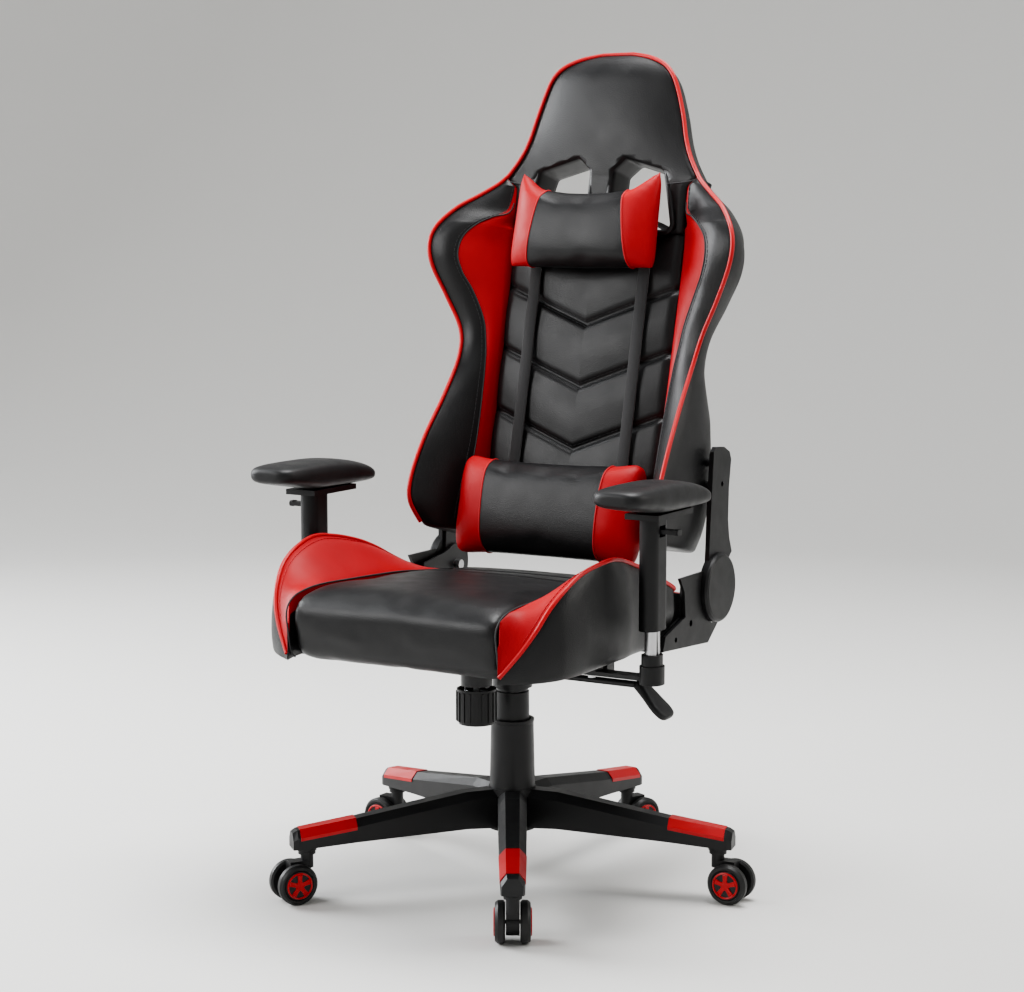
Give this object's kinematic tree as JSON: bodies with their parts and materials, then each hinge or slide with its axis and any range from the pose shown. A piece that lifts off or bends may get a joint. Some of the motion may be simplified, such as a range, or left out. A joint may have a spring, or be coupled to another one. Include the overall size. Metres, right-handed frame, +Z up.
{
  "type": "gaming chair",
  "caption": "Bucket-seat office chair with a reclining high back, star base on twin-wheel casters, gas lift, sliding armrests, and head and lumbar pillows.",
  "frame": {"origin": "on the floor under the gas lift's axis", "axes": "+Z up, the sitter faces -Y, +X is the sitter's left"},
  "size_m": [0.7078, 0.7141, 1.2535],
  "materials": {
    "black_plastic": "fine grain, satin",
    "red_plastic": "gloss",
    "white_plastic": "matte",
    "dark_steel": "satin black paint",
    "bright_steel": "brushed, bare",
    "strap_fabric": "woven webbing",
    "pad_plastic": "soft matte skin",
    "black_leather": "imitation leather, fine grain, red side panels and piping",
    "red_leather": "imitation leather and suede centre",
    "wheel_nylon": "satin nylon with red caps"
  },
  "bodies": {
    "base": {"base_star": "black_plastic", "arm_inlays": "red_plastic", "cover_lower": "black_plastic", "gas_outer_tube": "dark_steel", "thrust_bearing": "bright_steel", "lift_bush": "white_plastic"},
    "caster_1": {"caster_fork_1": "black_plastic"},
    "wheels_1": {"caster_wheels_1": "wheel_nylon"},
    "caster_2": {"caster_fork_2": "black_plastic"},
    "wheels_2": {"caster_wheels_2": "wheel_nylon"},
    "caster_3": {"caster_fork_3": "black_plastic"},
    "wheels_3": {"caster_wheels_3": "wheel_nylon"},
    "caster_4": {"caster_fork_4": "black_plastic"},
    "wheels_4": {"caster_wheels_4": "wheel_nylon"},
    "caster_5": {"caster_fork_5": "black_plastic"},
    "wheels_5": {"caster_wheels_5": "wheel_nylon"},
    "gas_rod": {"gas_piston_rod": "bright_steel"},
    "chassis": {"gas_cylinder": "bright_steel", "cover_top": "black_plastic", "chassis_housing": "dark_steel", "tilt_pin": "bright_steel", "tilt_spring": "bright_steel"},
    "valve": {"valve_pin": "bright_steel"},
    "lever_cam": {"lever_cam": "dark_steel"},
    "gas_lever": {"lever_rod": "dark_steel", "lever_paddle": "black_plastic"},
    "seat": {"seat_plate": "dark_steel", "seat_frame": "dark_steel", "seat_webbing": "strap_fabric", "seat_cushion": "black_leather", "seat_bolster_left": "black_leather", "seat_bolster_right": "black_leather", "seat_bolts": "bright_steel", "arm_bracket_left": "bright_steel", "arm_bracket_right": "bright_steel", "arm_boots": "black_plastic", "hinge_plates": "dark_steel", "hinge_covers": "black_plastic", "hinge_pins": "bright_steel"},
    "tension_bolt": {"tension_bolt": "bright_steel"},
    "knob": {"tension_knob": "black_plastic"},
    "recline_lever": {"recline_lever": "black_plastic"},
    "armrest_left": {"arm_sleeve_left": "black_plastic", "arm_pad_left": "pad_plastic"},
    "armrest_right": {"arm_sleeve_right": "black_plastic", "arm_pad_right": "pad_plastic"},
    "latch_left": {"arm_latch_left": "black_plastic"},
    "latch_right": {"arm_latch_right": "black_plastic"},
    "back": {"back_frame": "dark_steel", "back_center": "black_leather", "back_wing_left": "black_leather", "back_wing_right": "black_leather", "back_head": "black_leather", "harness_bezels": "black_plastic", "harness_straps": "strap_fabric", "recline_arms": "dark_steel", "recline_covers": "black_plastic"},
    "head_pillow": {"head_pillow": "red_leather"},
    "lumbar_pillow": {"lumbar_pillow": "red_leather"}
  },
  "joints": [
    {"name": "caster_swivel_1", "type": "hinge", "parent": "base", "child": "caster_1", "pos_m": [0.159, -0.2754, 0.08], "axis": [0, 0, 1], "continuous": true},
    {"name": "wheel_roll_1", "type": "hinge", "parent": "caster_1", "child": "wheels_1", "pos_m": [0.148, -0.25634, 0.03], "axis": [-0.866, -0.5, 0], "continuous": true},
    {"name": "caster_swivel_2", "type": "hinge", "parent": "base", "child": "caster_2", "pos_m": [0.31105, 0.06612, 0.08], "axis": [0, 0, 1], "continuous": true},
    {"name": "wheel_roll_2", "type": "hinge", "parent": "caster_2", "child": "wheels_2", "pos_m": [0.33304, 0.06688, 0.03], "axis": [-0.0349, 0.9994, 0], "continuous": true},
    {"name": "caster_swivel_3", "type": "hinge", "parent": "base", "child": "caster_3", "pos_m": [0.03324, 0.31626, 0.08], "axis": [0, 0, 1], "continuous": true},
    {"name": "wheel_roll_3", "type": "hinge", "parent": "caster_3", "child": "wheels_3", "pos_m": [0.04254, 0.3362, 0.03], "axis": [-0.9063, 0.4226, 0], "continuous": true},
    {"name": "caster_swivel_4", "type": "hinge", "parent": "base", "child": "caster_4", "pos_m": [-0.29051, 0.12934, 0.08], "axis": [0, 0, 1], "continuous": true},
    {"name": "wheel_roll_4", "type": "hinge", "parent": "caster_4", "child": "wheels_4", "pos_m": [-0.31242, 0.13126, 0.03], "axis": [-0.0872, -0.9962, 0], "continuous": true},
    {"name": "caster_swivel_5", "type": "hinge", "parent": "base", "child": "caster_5", "pos_m": [-0.21278, -0.23632, 0.08], "axis": [0, 0, 1], "continuous": true},
    {"name": "wheel_roll_5", "type": "hinge", "parent": "caster_5", "child": "wheels_5", "pos_m": [-0.22444, -0.25498, 0.03], "axis": [0.848, -0.5299, 0], "continuous": true},
    {"name": "seat_swivel", "type": "hinge", "parent": "base", "child": "gas_rod", "pos_m": [0, 0, 0.1], "axis": [0, 0, 1], "continuous": true},
    {"name": "seat_lift", "type": "slide", "parent": "gas_rod", "child": "chassis", "axis": [0, 0, 1], "range_m": [-0.03, 0.06]},
    {"name": "lever_lift", "type": "hinge", "parent": "chassis", "child": "lever_cam", "pos_m": [0.06, -0.03, 0.331], "axis": [0, -1, 0], "range_deg": [0, 5], "stiffness_Nm_per_rad": 12, "springref_deg": -5.73},
    {"name": "valve_press", "type": "slide", "parent": "chassis", "child": "valve", "axis": [0, 0, -1], "range_m": [0, 0.0054]},
    {"name": "tilt_lock", "type": "slide", "parent": "lever_cam", "child": "gas_lever", "axis": [1, 0, 0], "range_m": [0, 0.012]},
    {"name": "seat_tilt", "type": "hinge", "parent": "chassis", "child": "seat", "pos_m": [0, 0.015, 0.336], "axis": [-1, 0, 0], "range_deg": [0, 9], "stiffness_Nm_per_rad": 150, "springref_deg": -14.32},
    {"name": "bolt_rise", "type": "slide", "parent": "chassis", "child": "tension_bolt", "axis": [0, 0, 1], "range_m": [0, 0.019], "deforming": ["tilt_spring"]},
    {"name": "tension_turn", "type": "hinge", "parent": "tension_bolt", "child": "knob", "pos_m": [0, -0.105, 0.29], "axis": [0, 0, 1], "continuous": true},
    {"name": "recline", "type": "hinge", "parent": "seat", "child": "back", "pos_m": [0, 0.207, 0.44], "axis": [-1, 0, 0], "range_deg": [-6, 52]},
    {"name": "recline_release", "type": "hinge", "parent": "seat", "child": "recline_lever", "pos_m": [-0.24, 0.12, 0.398], "axis": [-1, 0, 0], "range_deg": [0, 20], "stiffness_Nm_per_rad": 4, "springref_deg": -17.19},
    {"name": "armrest_height_left", "type": "slide", "parent": "seat", "child": "armrest_left", "axis": [0, 0, 1], "range_m": [-0.033, 0.042]},
    {"name": "armrest_release_left", "type": "hinge", "parent": "armrest_left", "child": "latch_left", "pos_m": [0.2972, -0.105, 0.568], "axis": [0, -1, 0], "range_deg": [0, 8], "stiffness_Nm_per_rad": 1, "springref_deg": -11.46},
    {"name": "armrest_height_right", "type": "slide", "parent": "seat", "child": "armrest_right", "axis": [0, 0, 1], "range_m": [-0.033, 0.042]},
    {"name": "armrest_release_right", "type": "hinge", "parent": "armrest_right", "child": "latch_right", "pos_m": [-0.2972, -0.105, 0.568], "axis": [0, 1, 0], "range_deg": [0, 8], "stiffness_Nm_per_rad": 1, "springref_deg": -11.46},
    {"name": "head_pillow_height", "type": "slide", "parent": "back", "child": "head_pillow", "axis": [0, 0.2283, 0.9736], "range_m": [-0.03, 0.015]},
    {"name": "lumbar_pillow_height", "type": "slide", "parent": "back", "child": "lumbar_pillow", "axis": [0, 0.2283, 0.9736], "range_m": [-0.002, 0.08]}
  ],
  "couplings": [
    {"joint": "valve_press", "follows": "lever_lift", "m_per_rad": 0.06},
    {"joint": "bolt_rise", "follows": "seat_tilt", "m_per_rad": 0.12}
  ]
}
